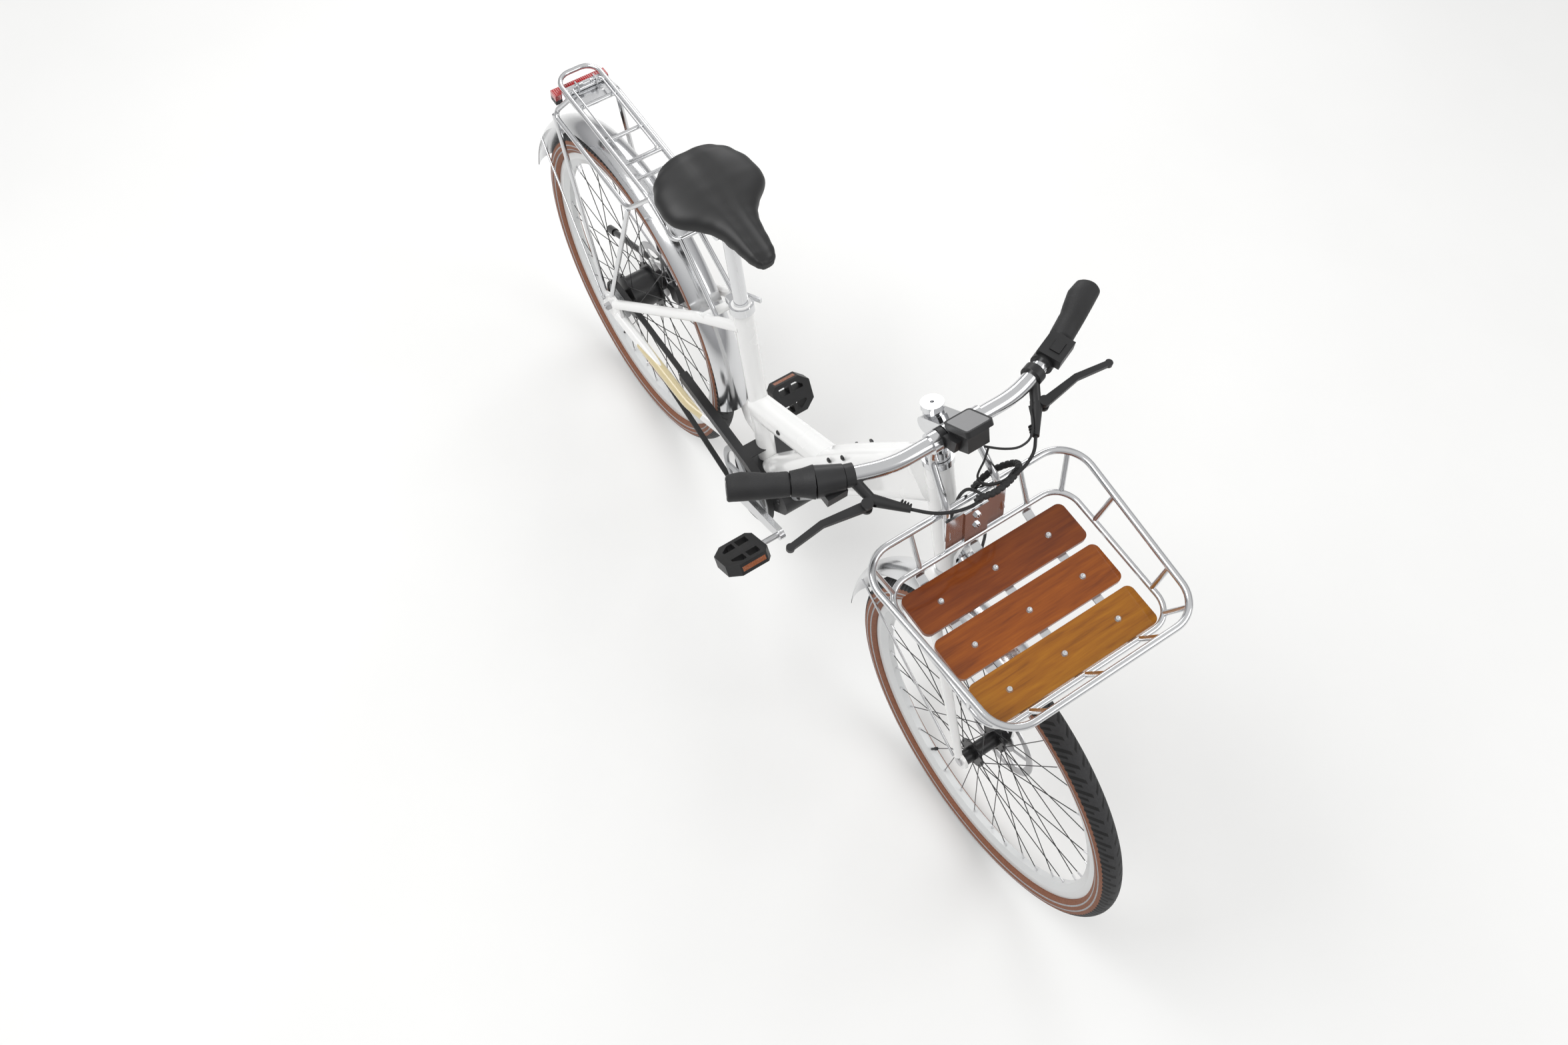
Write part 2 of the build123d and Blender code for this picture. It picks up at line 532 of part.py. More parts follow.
def rear_rack(pair, plate):
    z, y = RACK_Z, RACK_Y
    rack = rack_rail([(RACK_BACK, 0, z), (RACK_BACK, y, z), (RACK_FRONT, y, z), (200, y - 2, 796),
                      (219, y - 4, 769), (219, 0, 769)], RACK_R, [30, 60, 20, 22])
    for x in RACK_BARS:
        rack += rod((x, -y, z), (x, y, z), 4)
    ear = CLIP_RISE + 5
    for sign in (1, -1):
        low = [(-138, sign * y, z), (-166, sign * PANNIER_Y, PANNIER_Z), (111, sign * PANNIER_Y, PANNIER_Z),
               (150, sign * y, z)]
        rack += tube(low, RACK_R, [12, 30])
        leg = rod((8, sign * STAY_Y, 396), (112, sign * PANNIER_Y, PANNIER_Z), RACK_R)
        leg += rod((-20, sign * STAY_Y, 370), (-163, sign * PANNIER_Y, PANNIER_Z), RACK_R)
        rack += leg - (plate if sign > 0 else mirror(plate, about=Plane.XZ))
        strut = rod((219, sign * 20, 769), (352, sign * 26, 685), RACK_R)
        rack += strut - pair[0 if sign > 0 else 1]
        rack += side([(CLIP_X - 8, z), (CLIP_X - 8, z + ear), (CLIP_X + 8, z + ear), (CLIP_X + 8, z)],
                     *sorted((sign * 18, sign * 21)))
    plate_z = z - RACK_R
    rack += Pos(-142.5, 0, plate_z - 1.25) * Box(55, 2 * y + 6, 2.5)
    rack += Pos(-168.75, 0, plate_z - 15) * Box(2.5, 90, 30)
    for s in (-1, 1):
        hole = LIGHT_HOLE_X, s * LIGHT_HOLES / 2
        rack -= rod((*hole, plate_z - 5), (*hole, plate_z + 4), 2.75)
    rack -= rod((CLIP_X, -40, z + CLIP_RISE), (CLIP_X, 40, z + CLIP_RISE), CLIP_R + RUN)
    add("rear_rack", largest(rack))
    tongue = Pos(-178, 0, plate_z - 21) * Box(16, 80, 6)
    add("tail_light_housing", Pos(-180, 0, plate_z - 28) * Box(20, 116, 10) + tongue)
    lens = Pos(-180, 0, plate_z - 17) * Box(20, 116, 12) - tongue
    add("tail_light_lens", lens)

    front_z = z + 4 + CLIP_R + GAP
    top = z + CLIP_RISE
    clip = rack_rail([(CLIP_X, 0, top), (CLIP_X, CLIP_HALF, top), (CLIP_X + CLIP_REACH, CLIP_HALF, front_z),
                      (CLIP_X + CLIP_REACH, 0, front_z)], CLIP_R, [7, 9])
    for k in range(6):
        for sign in (1, -1):
            clip += Pos(CLIP_X, sign * (9 + 1.2 * k), top) * Rot(90, 0, 0) * Torus(3.6, 0.9)
            clip += Pos(CLIP_X, sign * (9 + 1.2 * k), top) * Rot(90, 0, 0) * Cylinder(3.4, 1.0)
    add("rack_clip", largest(clip))


# ---- seat -------------------------------------------------------------------------------------
def seat_parts():
    top = Vector(*seat_point(POST_TOP))
    post = rod(seat_point(POST_LOW), top, POST_R) + ring_y(top.X, top.Z, 15, -29, 29)
    rails = []
    for sign in (1, -1):
        points = [(222, sign * 44, SADDLE_Z), (252, sign * 26, POST_TOP + 2), (388, sign * 21, POST_TOP + 2),
                  (424, sign * 14, SADDLE_Z)]
        rails.append(tube(points, 3.5, [25, 40]))
    for r in rails:
        post -= r
    add("seat_post", largest(post))
    faces = []
    for x, half, high in SADDLE:
        points = (-half, SADDLE_Z), (-half, SADDLE_Z + 9), (0, high), (half, SADDLE_Z + 9), (half, SADDLE_Z)
        edge = [Line(points[0], points[1]), ThreePointArc(points[1], points[2], points[3]),
                Line(points[3], points[4]), Line(points[4], points[0])]
        face = make_face(edge)
        faces.append(Plane(origin=(x, 0, 0), x_dir=(0, 1, 0), z_dir=(1, 0, 0)) * face)
    cushion = loft(faces)
    add("saddle", cushion)
    add("saddle_rails", *[largest(r - cushion) for r in rails])


def seat_clamp(seat):
    local = Plane(origin=seat_point(CLAMP_Z - 9), x_dir=(1, 0, SEAT_LEAN), z_dir=SEAT_DIR)
    ring = extrude(local * Circle(SEAT_R + 4.5), 8, both=True)
    ear = local * Pos(-30, 0, 0) * Box(16, 24, 15)
    for s in (-1, 1):
        ear += local * Pos(LEVER_X, 15, s * 6.5) * Box(12, 18, 3)
    pin = extrude(local * Pos(LEVER_X, LEVER_Y) * Circle(2.5), 8, both=True)
    body = (ring + ear + pin) - seat - rod(seat_point(430), seat_point(CLAMP_Z + 60), POST_R + RUN)
    add("seat_clamp", largest(body))
    arm = extrude(local * Pos(LEVER_X, LEVER_Y) * Circle(4.5), 4.6, both=True)
    blade = local * Pos(LEVER_X + 23, LEVER_Y + 9.4, 0) * Rot(0, 0, 21) * Box(42, 5, 9.2)
    arm = arm + blade - extrude(local * Pos(LEVER_X, LEVER_Y) * Circle(2.5 + RUN), 10, both=True)
    add("clamp_lever", arm)


# ---- fork, stem and handlebar -----------------------------------------------------------------
BAR = [Vector(BAR_X - 94, 331, BAR_Z), Vector(BAR_X - 32, 209, BAR_Z), Vector(BAR_X, 112, BAR_Z)]


def bar_point(sign, run, s):
    a, b = (BAR[0], BAR[1]) if run == 0 else (BAR[1], BAR[2])
    p = a + (b - a).normalized() * s
    return Vector(p.X, sign * p.Y, p.Z)


def bar_rod(sign, run, s0, s1, r0, r1=None):
    return rod(bar_point(sign, run, s0), bar_point(sign, run, s1), r0, r1)


def front_end():
    points = [tuple(p) for p in BAR] + [(p.X, -p.Y, p.Z) for p in reversed(BAR)]
    bar = tube(points, BAR_R, BAR_BENDS)
    bore = tube(points, BAR_R - 2.5, BAR_BENDS)
    add("handlebar", bar - bore)

    steerer = steer_ring(CROWN_FROM + 5, STEM_FROM, STEERER_R)
    crown = STEER.offset(CROWN_FROM) * RectangleRounded(40, 2 * CROWN_Y + 24, 18)
    crown = extrude(crown, CROWN_TO - CROWN_FROM)
    fork = steerer + crown
    axle = FRONT["axle"]
    for s in (1, -1):
        fork += rod(steer_point(2, s * CROWN_Y, CROWN_FROM + 8), steer_point(46, s * FORK_Y, 12), 11, 8)
        fork += ring_y(*FRONT_AXLE, 18, *sorted((s * FRONT["half"], s * (FRONT["half"] + 6))))
    fork -= ring_y(*FRONT_AXLE, 30, -FRONT["half"], FRONT["half"])
    fork -= ring_y(*FRONT_AXLE, axle, -200, 200)
    for s in (1, -1):
        fork -= ring_y(*FRONT_AXLE, 11, *sorted((s * (FRONT["half"] + 6), s * 90)))
    add("fork", largest(fork))
    end = FRONT["half"] + 6
    add("front_axle", ring_y(*FRONT_AXLE, axle, -end, end) + ring_y(*FRONT_AXLE, 9, end, end + 4)
        + ring_y(*FRONT_AXLE, 9, -end - 4, -end))

    stem = steer_ring(STEM_FROM, STEM_TO - 10, 15.5) + steer_ring(STEM_TO - 10, STEM_TO, 17.5)
    stem += steer_ring(HEAD_TO + CUP_T + 1, STEM_FROM + 8, 20, STEERER_R)
    top = steer_point(0, 0, STEM_TO - 34)
    stem += capsule((top.X, top.Z), (BAR_X, BAR_Z), 14, 18.5, -20, 20)
    stem -= bar
    stem -= steer_ring(STEM_TO - 10, STEM_TO + 1, 3.2)
    stem -= steerer
    add("stem", largest(stem))

    grips = [bar_rod(-1, 0, 0, 90, GRIP_R), bar_rod(1, 0, 0, 113, GRIP_R)]
    wing = bar_rod(1, 0, 4, 60, 9, 7)
    grips[1] = grips[1] + Pos(-15, 0, 2) * wing
    add("grips", *[largest(g - bar) for g in grips])
    twist = bar_rod(-1, 0, 90.5, 108, GRIP_R, 21) + bar_rod(-1, 0, 108, 124, 21, 25)
    add("twist_grip", twist - bar_rod(-1, 0, 80, 130, BAR_R + RUN))
    a, b = bar_point(-1, 0, 124.5), bar_point(-1, 1, 30)
    pod = rod(a, b, 24, 19)
    pod += Pos((a.X + b.X) / 2 + 10, (a.Y + b.Y) / 2, BAR_Z - 18) * Box(30, 34, 18)
    pod -= bar_rod(-1, 0, 80, 124 + GAP, 45)
    bodies = [pod]
    for s, s0 in ((-1, 31), (1, 48)):
        c0, c1 = bar_point(s, 1, s0), bar_point(s, 1, s0 + 14)
        mid = (c0 + c1) / 2
        pivot = Vector(LEVER_PIVOT_X, s * LEVER_PIVOT_Y[s], LEVER_Z)
        out = Vector(HOSE_X, s * HOSE_Y[s], LEVER_Z)
        body = rod(c0, c1, 17.5) + rod(mid, pivot + Vector(-4, -s * 12, 0), 9, 8)
        body += rod(pivot + Vector(-8, -s * 8, 0), out, 10, 5.5)
        body += extrude(Plane(origin=pivot + Vector(0, 0, -9)) * Circle(9), 18)
        cut = extrude(Plane(origin=pivot + Vector(0, 0, -LEVER_T / 2 - GAP)) * Circle(60), LEVER_T + 2 * GAP)
        body -= cut & (Pos(pivot.X, pivot.Y + s * 25, pivot.Z) * Box(40, 50 + 2 * 11, 40))
        body += extrude(Plane(origin=pivot + Vector(0, 0, -8)) * Circle(2.5), 16)
        bodies.append(body)
        name = "left_lever" if s > 0 else "right_lever"
        bend = Vector(LEVER_PIVOT_X - 10, s * (LEVER_PIVOT_Y[s] + LEVER_BEND), LEVER_Z)
        tip = Vector(LEVER_PIVOT_X - 3, s * (LEVER_PIVOT_Y[s] + LEVER_REACH), LEVER_Z)
        low = LEVER_Z - LEVER_T / 2
        blade = flat_arm(pivot, bend, 7.5, 5.2, low, LEVER_T) + flat_arm(bend, tip, 5.2, 4.5, low, LEVER_T)
        blade += extrude(Plane(origin=(tip.X, tip.Y, low)) * Circle(6.2), LEVER_T)
        blade -= extrude(Plane(origin=pivot + Vector(0, 0, -20)) * Circle(2.5 + RUN), 40)
        add(name, largest(blade))
    add("lever_bodies", *[largest(b - bar) for b in bodies])

    a, b = bar_point(1, 0, 115), bar_point(1, 1, 34)
    mid = (a + b) / 2
    turn = degrees(atan2(b.Y - a.Y, b.X - a.X))
    remote = rod(a, b, 18)
    place = Pos(mid.X, mid.Y, BAR_Z) * Rot(0, 0, turn)
    remote += place * Pos(0, 6, 13) * Box(46, 40, 18)
    pocket = place * Pos(0, 8, 19) * Box(22 + 2 * GAP, 16 + 2 * GAP, 9)
    remote = remote - bar - pocket
    add("remote", largest(remote))
    add("remote_button", place * Pos(0, 8, 20.6) * Box(22, 16, 6))

    bx, bz = BAR_X, BAR_Z
    face = Plane(origin=(bx + 18, 0, bz + 50), x_dir=(0.8, 0, 0.6), z_dir=(-0.6, 0, 0.8))
    case = extrude(face * RectangleRounded(60, 48, 6), -10)
    case += side([(bx - 1, bz + 24), (bx + 41, bz + 55), (bx + 52, bz + 22), (bx + 34, bz + 6),
                  (bx + 7, bz + 8)], -19, 19)
    case += ring_y(BAR_X, BAR_Z, BAR_R + 4, -30, -21)
    case += side([(bx, bz + 12), (bx + 34, bz + 35), (bx + 34, bz + 8), (bx + 11, bz - 2)], -29, -19)
    screen = extrude(face.offset(-1.2) * RectangleRounded(52, 41, 4), 1.2)
    case = case - bar - capsule((top.X, top.Z), (BAR_X, BAR_Z), 14, 18.5, -20.5, 20.5) - screen
    add("display", largest(case))
    add("display_screen", screen)

    hanger = front_rack(bar, crown)
    x, z = LOW_X[0], LOW_Z - 84
    lamp = rod((x - 2, 0, z), (x + 22, 0, z), 20) + rod((x + 22, 0, z), (x + 28, 0, z), 20, 16.5)
    lamp += rod((x - 16, 0, z), (x, 0, z), 8)
    add("headlamp", (lamp - hanger).solids().sort_by(Axis.X)[-1])
    front_fender(crown)

    box = STEER * Plane(origin=(-2, 40.5, 60), x_dir=(-0.669, 0, 0.743), z_dir=(0, 1, 0))
    caliper = extrude(box * RectangleRounded(34, 42, 5), 8.5, both=True)
    caliper += rod(steer_point(6, 42, 66), steer_point(38, 51, 78), 6.5)
    slot = FRONT["rotor_y"]
    caliper -= ring_y(*FRONT_AXLE, ROTOR_R + 2, slot - 2, slot + 2)
    caliper -= fork
    add("front_caliper", largest(caliper))


def loop_rail(x0, x1, y0, y1, z, radius, bend):
    """A closed rail round the rack, joined at two seams away from its posts."""
    left = tube([(x0, SEAM_Y, z), (x0, y0, z), (x1, y1, z), (x1, SEAM_Y, z)], radius, [bend, bend])
    right = tube([(x1, SEAM_Y, z), (x1, -y1, z), (x0, -y0, z), (x0, SEAM_Y, z)], radius, [bend, bend])
    return left + right


def front_rack(bar, crown):
    lx0, lx1 = LOW_X
    tx0, tx1 = TOP_X
    rack = loop_rail(lx0, lx1, LOW_Y, LOW_Y, LOW_Z, RAIL_R, 42)
    rack += loop_rail(tx0, tx1, *TOP_Y, TOP_Z, TOP_RAIL_R, 55)
    slope = (TOP_Y[1] - TOP_Y[0]) / (tx1 - tx0)
    for s in (1, -1):
        rack += rod((lx0, s * 104, LOW_Z), (tx0, s * 104, TOP_Z), RACK_POST_R)
        rack += rod((lx0 + 12, s * (LOW_Y - 12), LOW_Z), (tx0 + 16, s * (TOP_Y[0] - 17), TOP_Z), RACK_POST_R)
        rack += rod((lx1 - 12, s * (LOW_Y - 12), LOW_Z), (tx1 - 16, s * (TOP_Y[1] - 16), TOP_Z), RACK_POST_R)
        for x in (lx0 + 79, lx0 + 216):
            rack += rod((x, s * LOW_Y, LOW_Z), (x, s * (TOP_Y[0] + slope * (x - tx0)), TOP_Z), RACK_POST_R)
        points = [(BAR_X + 1, s * 39, BAR_Z - 10), (BAR_X + 7, s * 40, BAR_Z - 40)]
        points += [(lx0 - 32, s * 47, LOW_Z + 90), (lx0 - 9, s * 52, LOW_Z + 30)]
        strut = tube(points, 6, [22, 40])
        rack += strut + ring_y(BAR_X, BAR_Z, BAR_R + 4, *sorted((s * 32, s * 46)))
    for y in STRAP_Y:
        rack += rod((lx1, y, LOW_Z), (tx1, y, TOP_Z), RACK_POST_R)
        z1 = DECK_Z - SLAT_T
        z0 = z1 - STRAP_T
        points = [(lx0 - 1.5, LOW_Z), (lx0 + 2.5, z0 + 4), (lx0 + 15, z0), (lx1 - 7.5, z0), (lx1 - 1, z0 + 4),
                  (lx1 + 1.5, LOW_Z), (lx1 - 1, LOW_Z), (lx1 - 4, z1 + 3.5), (lx1 - 8.6, z1), (lx0 + 16, z1),
                  (lx0 + 4.5, z1 + 3.5), (lx0 + 1, LOW_Z)]
        rack += side(points, y - STRAP_W / 2, y + STRAP_W / 2)
    x, z = lx0, LOW_Z
    rack += side([(x - 3, z - 7), (x + 1, z - 7), (x - 15, z + 74), (x - 19, z + 74)], -56, 56)
    rack += side([(x - 1, z - 5), (x + 4, z - 5), (x - 12, z + 72), (x - 16.5, z + 72)], -22, 22)
    hanger = side([(x - 2, z - 169), (x + 10, z - 169), (x - 8, z - 80), (x, z - 10), (x - 5, z + 15),
                   (x - 7, z + 15), (x - 4.5, z - 10), (x - 14, z - 80)], -14, 14)
    hanger -= steer_ring(CROWN_TO, HEAD_FROM + 2, CUP_R + GAP)
    rack += largest(hanger - crown)
    rack -= bar
    slats, screws, holes = [], [], []
    for k in range(3):
        x = SLAT_X0 + SLAT_PITCH * k + SLAT_W / 2
        slab = Pos(x, 0, DECK_Z - SLAT_T) * extrude(RectangleRounded(SLAT_W, 2 * SLAT_HALF, 12), SLAT_T)
        for y in STRAP_Y:
            shank = rod((x, y, DECK_Z - SLAT_T - 7), (x, y, DECK_Z + 1), SCREW_R)
            head = rod((x, y, DECK_Z), (x, y, DECK_Z + 2.6), SCREW_HEAD_R, SCREW_HEAD_R - 1.6)
            head -= rod((x, y, DECK_Z + 1.2), (x, y, DECK_Z + 4), 1.8)
            nut = rod((x, y, DECK_Z - SLAT_T - STRAP_T - 4), (x, y, DECK_Z - SLAT_T - STRAP_T), 4)
            screws.append(shank + head + nut)
            slab -= shank
            holes.append(shank)
        slats.append(slab)
    for h in holes:
        rack -= h
    rack = largest(rack)
    add("front_rack", rack)
    add("deck_slats", *slats)
    add("slat_screws", *screws)
    return hanger


def front_fender(crown):
    shell = Pos(WHEELBASE, 0, TYRE_R) * sector(fender_section(), *FRONT_FENDER)
    a = fender_point(FRONT_AXLE, 117.4, 0, FENDER_R - 1)
    b = fender_point(FRONT_AXLE, 117.4, 0, FENDER_R + 40)
    shell += rod(a, b, 6) - crown - steer_ring(CROWN_FROM, CROWN_TO + 60, 60)
    y = FRONT["half"] + 6 + STAY_WIRE_R
    for sign in (1, -1):
        edge = fender_point(FRONT_AXLE, 163, sign * (FENDER_HALF - 1), FENDER_R - FENDER_DROP + 1)
        shell += rod((WHEELBASE - 15, sign * y, TYRE_R - 4), edge, STAY_WIRE_R)
    add("front_fender", largest(shell))


def hoses():
    """Brake hoses and thin cables, each a chain of straight runs and tangent arcs."""
    routes = []
    for points, radius in HOSES:
        bends = []
        for a, b, c in zip(points, points[1:], points[2:]):
            a, b, c = Vector(*a), Vector(*b), Vector(*c)
            half = radians((b - a).get_angle(c - b)) / 2
            bends.append(0.45 * min((b - a).length, (c - b).length) / abs(sin(half) / cos(half)))
        print("hose radius", radius, "bends", [round(v) for v in bends])
        routes.append(tube(points, radius, bends))
    add("control_hoses", *routes)


wheel("rear", REAR_AXLE, REAR)
wheel("front", FRONT_AXLE, FRONT)
seat_solid = frame()
plate_solid, bridge_solid, stay_pair = stays(seat_solid)
kickstand()
drive(seat_solid)
rear_fender(bridge_solid)
rear_rack(stay_pair, plate_solid)
seat_parts()
seat_clamp(seat_solid)
front_end()
hoses()

os.makedirs("parts", exist_ok=True)
for node, shape in parts.items():
    export_step(Pos(-ORIGIN_X, 0, 0) * shape, "parts/" + node + ".step")
print(len(parts), "nodes, origin shift", round(ORIGIN_X, 3))
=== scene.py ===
import json
from math import cos, pi, radians, sin, sqrt, tau

import bmesh
import bpy
from mathutils import Matrix, Vector


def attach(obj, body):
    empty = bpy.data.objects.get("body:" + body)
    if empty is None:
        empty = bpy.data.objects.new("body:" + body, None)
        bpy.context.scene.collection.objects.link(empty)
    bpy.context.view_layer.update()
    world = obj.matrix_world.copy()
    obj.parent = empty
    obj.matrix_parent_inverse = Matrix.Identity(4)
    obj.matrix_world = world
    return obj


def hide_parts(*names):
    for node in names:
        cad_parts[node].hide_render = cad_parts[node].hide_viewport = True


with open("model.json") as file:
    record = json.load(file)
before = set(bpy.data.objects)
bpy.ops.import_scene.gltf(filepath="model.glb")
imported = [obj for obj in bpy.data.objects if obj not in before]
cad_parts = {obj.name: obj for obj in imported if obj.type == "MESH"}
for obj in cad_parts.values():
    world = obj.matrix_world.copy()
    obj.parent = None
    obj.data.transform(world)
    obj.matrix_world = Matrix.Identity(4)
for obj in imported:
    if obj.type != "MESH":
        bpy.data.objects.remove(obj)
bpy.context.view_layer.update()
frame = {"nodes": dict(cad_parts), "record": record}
NODES = frame["nodes"]

# The layout frame of the measurements has its origin under the rear axle, in millimetres.
SHIFT_X = 596.913
WHEELBASE = 1223
AXLE_Z = 358
BAR_Z = 1090
CRANK_X, CRANK_Z = 502, 312


def at(x, y, z):
    return Vector(((x - SHIFT_X) / 1000, y / 1000, z / 1000))


REAR_C = at(0, 0, AXLE_Z)
FRONT_C = at(WHEELBASE, 0, AXLE_Z)


# ---- materials ---------------------------------------------------------------------------------
class Mat:
    """A node material built around one Principled shader."""

    def __init__(self, name, color, rough=0.5, metal=0.0, coat=0.0, spec=0.5):
        self.m = bpy.data.materials.new(name)
        self.m.use_nodes = True
        self.nt = self.m.node_tree
        self.b = self.nt.nodes["Principled BSDF"]
        self.b.inputs["Base Color"].default_value = (*color, 1)
        self.b.inputs["Roughness"].default_value = rough
        self.b.inputs["Metallic"].default_value = metal
        self.b.inputs["Coat Weight"].default_value = coat
        self.b.inputs["Coat Roughness"].default_value = 0.06
        self.b.inputs["Specular IOR Level"].default_value = spec
        self.coord = self.nt.nodes.new("ShaderNodeTexCoord").outputs["Object"]

    def node(self, kind, **props):
        n = self.nt.nodes.new("ShaderNode" + kind)
        for k, v in props.items():
            setattr(n, k, v)
        return n

    def link(self, a, b):
        self.nt.links.new(a, b)

    def scaled(self, scale, source=None):
        m = self.node("Mapping")
        m.inputs["Scale"].default_value = scale
        self.link(source or self.coord, m.inputs["Vector"])
        return m.outputs["Vector"]

    def noise(self, scale, detail=3.0, stretch=(1, 1, 1), rough=0.55):
        n = self.node("TexNoise")
        n.inputs["Scale"].default_value = scale
        n.inputs["Detail"].default_value = detail
        n.inputs["Roughness"].default_value = rough
        self.link(self.scaled(stretch), n.inputs["Vector"])
        return n.outputs["Fac"]

    def math(self, op, a, b=0.0):
        n = self.node("Math", operation=op)
        for i, v in enumerate((a, b)):
            if isinstance(v, (int, float)):
                n.inputs[i].default_value = v
            else:
                self.link(v, n.inputs[i])
        return n.outputs[0]

    def ramp(self, fac, stops, interpolation="LINEAR"):
        n = self.node("ValToRGB")
        n.color_ramp.interpolation = interpolation
        els = n.color_ramp.elements
        while len(els) < len(stops):
            els.new(0.5)
        for e, (p, c) in zip(els, stops):
            e.position = p
            e.color = (*c, 1)
        self.link(fac, n.inputs["Fac"])
        return n.outputs["Color"]

    def mix(self, fac, a, b, blend="MIX"):
        n = self.node("Mix", data_type="RGBA", blend_type=blend)
        for i, v in ((0, fac), (6, a), (7, b)):
            if isinstance(v, tuple):
                n.inputs[i].default_value = (*v, 1)
            elif isinstance(v, float):
                n.inputs[i].default_value = v
            else:
                self.link(v, n.inputs[i])
        return n.outputs[2]

    def vary(self, socket, fac, lo, hi):
        n = self.node("MapRange")
        n.inputs["To Min"].default_value = lo
        n.inputs["To Max"].default_value = hi
        self.link(fac, n.inputs["Value"])
        self.link(n.outputs[0], self.b.inputs[socket])

    def color(self, out):
        self.link(out, self.b.inputs["Base Color"])

    def bump(self, height, strength, distance=0.001):
        n = self.node("Bump")
        n.inputs["Strength"].default_value = strength
        n.inputs["Distance"].default_value = distance
        self.link(height, n.inputs["Height"])
        self.link(n.outputs["Normal"], self.b.inputs["Normal"])

    def xyz(self):
        n = self.node("SeparateXYZ")
        self.link(self.coord, n.inputs[0])
        return n.outputs

    def radius_about(self, centre):
        """Distance from a wheel's axis, in metres."""
        o = self.xyz()
        dx = self.math("SUBTRACT", o[0], centre.x)
        dz = self.math("SUBTRACT", o[2], centre.z)
        square = self.math("ADD", self.math("MULTIPLY", dx, dx), self.math("MULTIPLY", dz, dz))
        return self.math("SQRT", square)

    def angle_about(self, centre):
        """Angle around a wheel's axis, in radians."""
        o = self.xyz()
        dx = self.math("SUBTRACT", o[0], centre.x)
        dz = self.math("SUBTRACT", o[2], centre.z)
        return self.math("ARCTAN2", dz, dx)


def frame_paint():
    m = Mat("frame_paint", (0.84, 0.84, 0.825), 0.28, coat=0.8)
    m.bump(m.noise(900, 2), 0.02, 0.0002)
    tone = m.noise(2.0, 2)
    clean = m.ramp(tone, [(0.3, (0.84, 0.84, 0.83)), (0.7, (0.87, 0.87, 0.86))])
    m.color(clean)
    m.vary("Roughness", m.noise(14, 2), 0.24, 0.29)
    return m.m


def stay_paint():
    """White paint with a clear protective film along the belt's stay."""
    m = Mat("stay_paint", (0.84, 0.84, 0.825), 0.28, coat=0.6)
    x, y, z = m.xyz()
    film_back, film_front = at(118, 0, 0).x, at(336, 0, 0).x
    film_inner_y, film_top = -0.052, 0.3585
    ahead = m.math("MULTIPLY", m.math("GREATER_THAN", x, film_back), m.math("LESS_THAN", x, film_front))
    right = m.math("LESS_THAN", y, film_inner_y)
    low = m.math("LESS_THAN", z, film_top)
    film = m.math("MULTIPLY", m.math("MULTIPLY", ahead, right), low)
    m.color(m.mix(film, (0.855, 0.855, 0.845), (0.66, 0.56, 0.33)))
    m.vary("Roughness", m.noise(14, 2), 0.24, 0.30)
    return m.m


def rim_paint():
    m = Mat("rim_paint", (0.66, 0.67, 0.67), 0.36, coat=0.3)
    m.color(m.ramp(m.noise(5, 2), [(0.3, (0.62, 0.63, 0.63)), (0.7, (0.68, 0.69, 0.69))]))
    m.bump(m.noise(700, 2), 0.03, 0.0002)
    m.vary("Roughness", m.noise(20, 2), 0.32, 0.40)
    return m.m


def metal(name, color, lo, hi, streak=(1, 1, 1), bump=0.02):
    m = Mat(name, color, lo, 1.0)
    n = m.noise(160, 4, streak)
    m.vary("Roughness", n, lo, hi)
    c = tuple(v * 0.93 for v in color)
    m.color(m.ramp(m.noise(4, 2), [(0.35, c), (0.65, color)]))
    m.bump(n, bump, 0.0001)
    return m.m


def satin_black(name, color, lo, hi, grain, strength):
    m = Mat(name, color, lo)
    m.vary("Roughness", m.noise(45, 3), lo, hi)
    c = tuple(min(1, v * 1.7 + 0.004) for v in color)
    m.color(m.ramp(m.noise(12, 3), [(0.35, color), (0.75, c)]))
    m.bump(m.noise(grain, 2), strength, 0.0004)
    return m.m


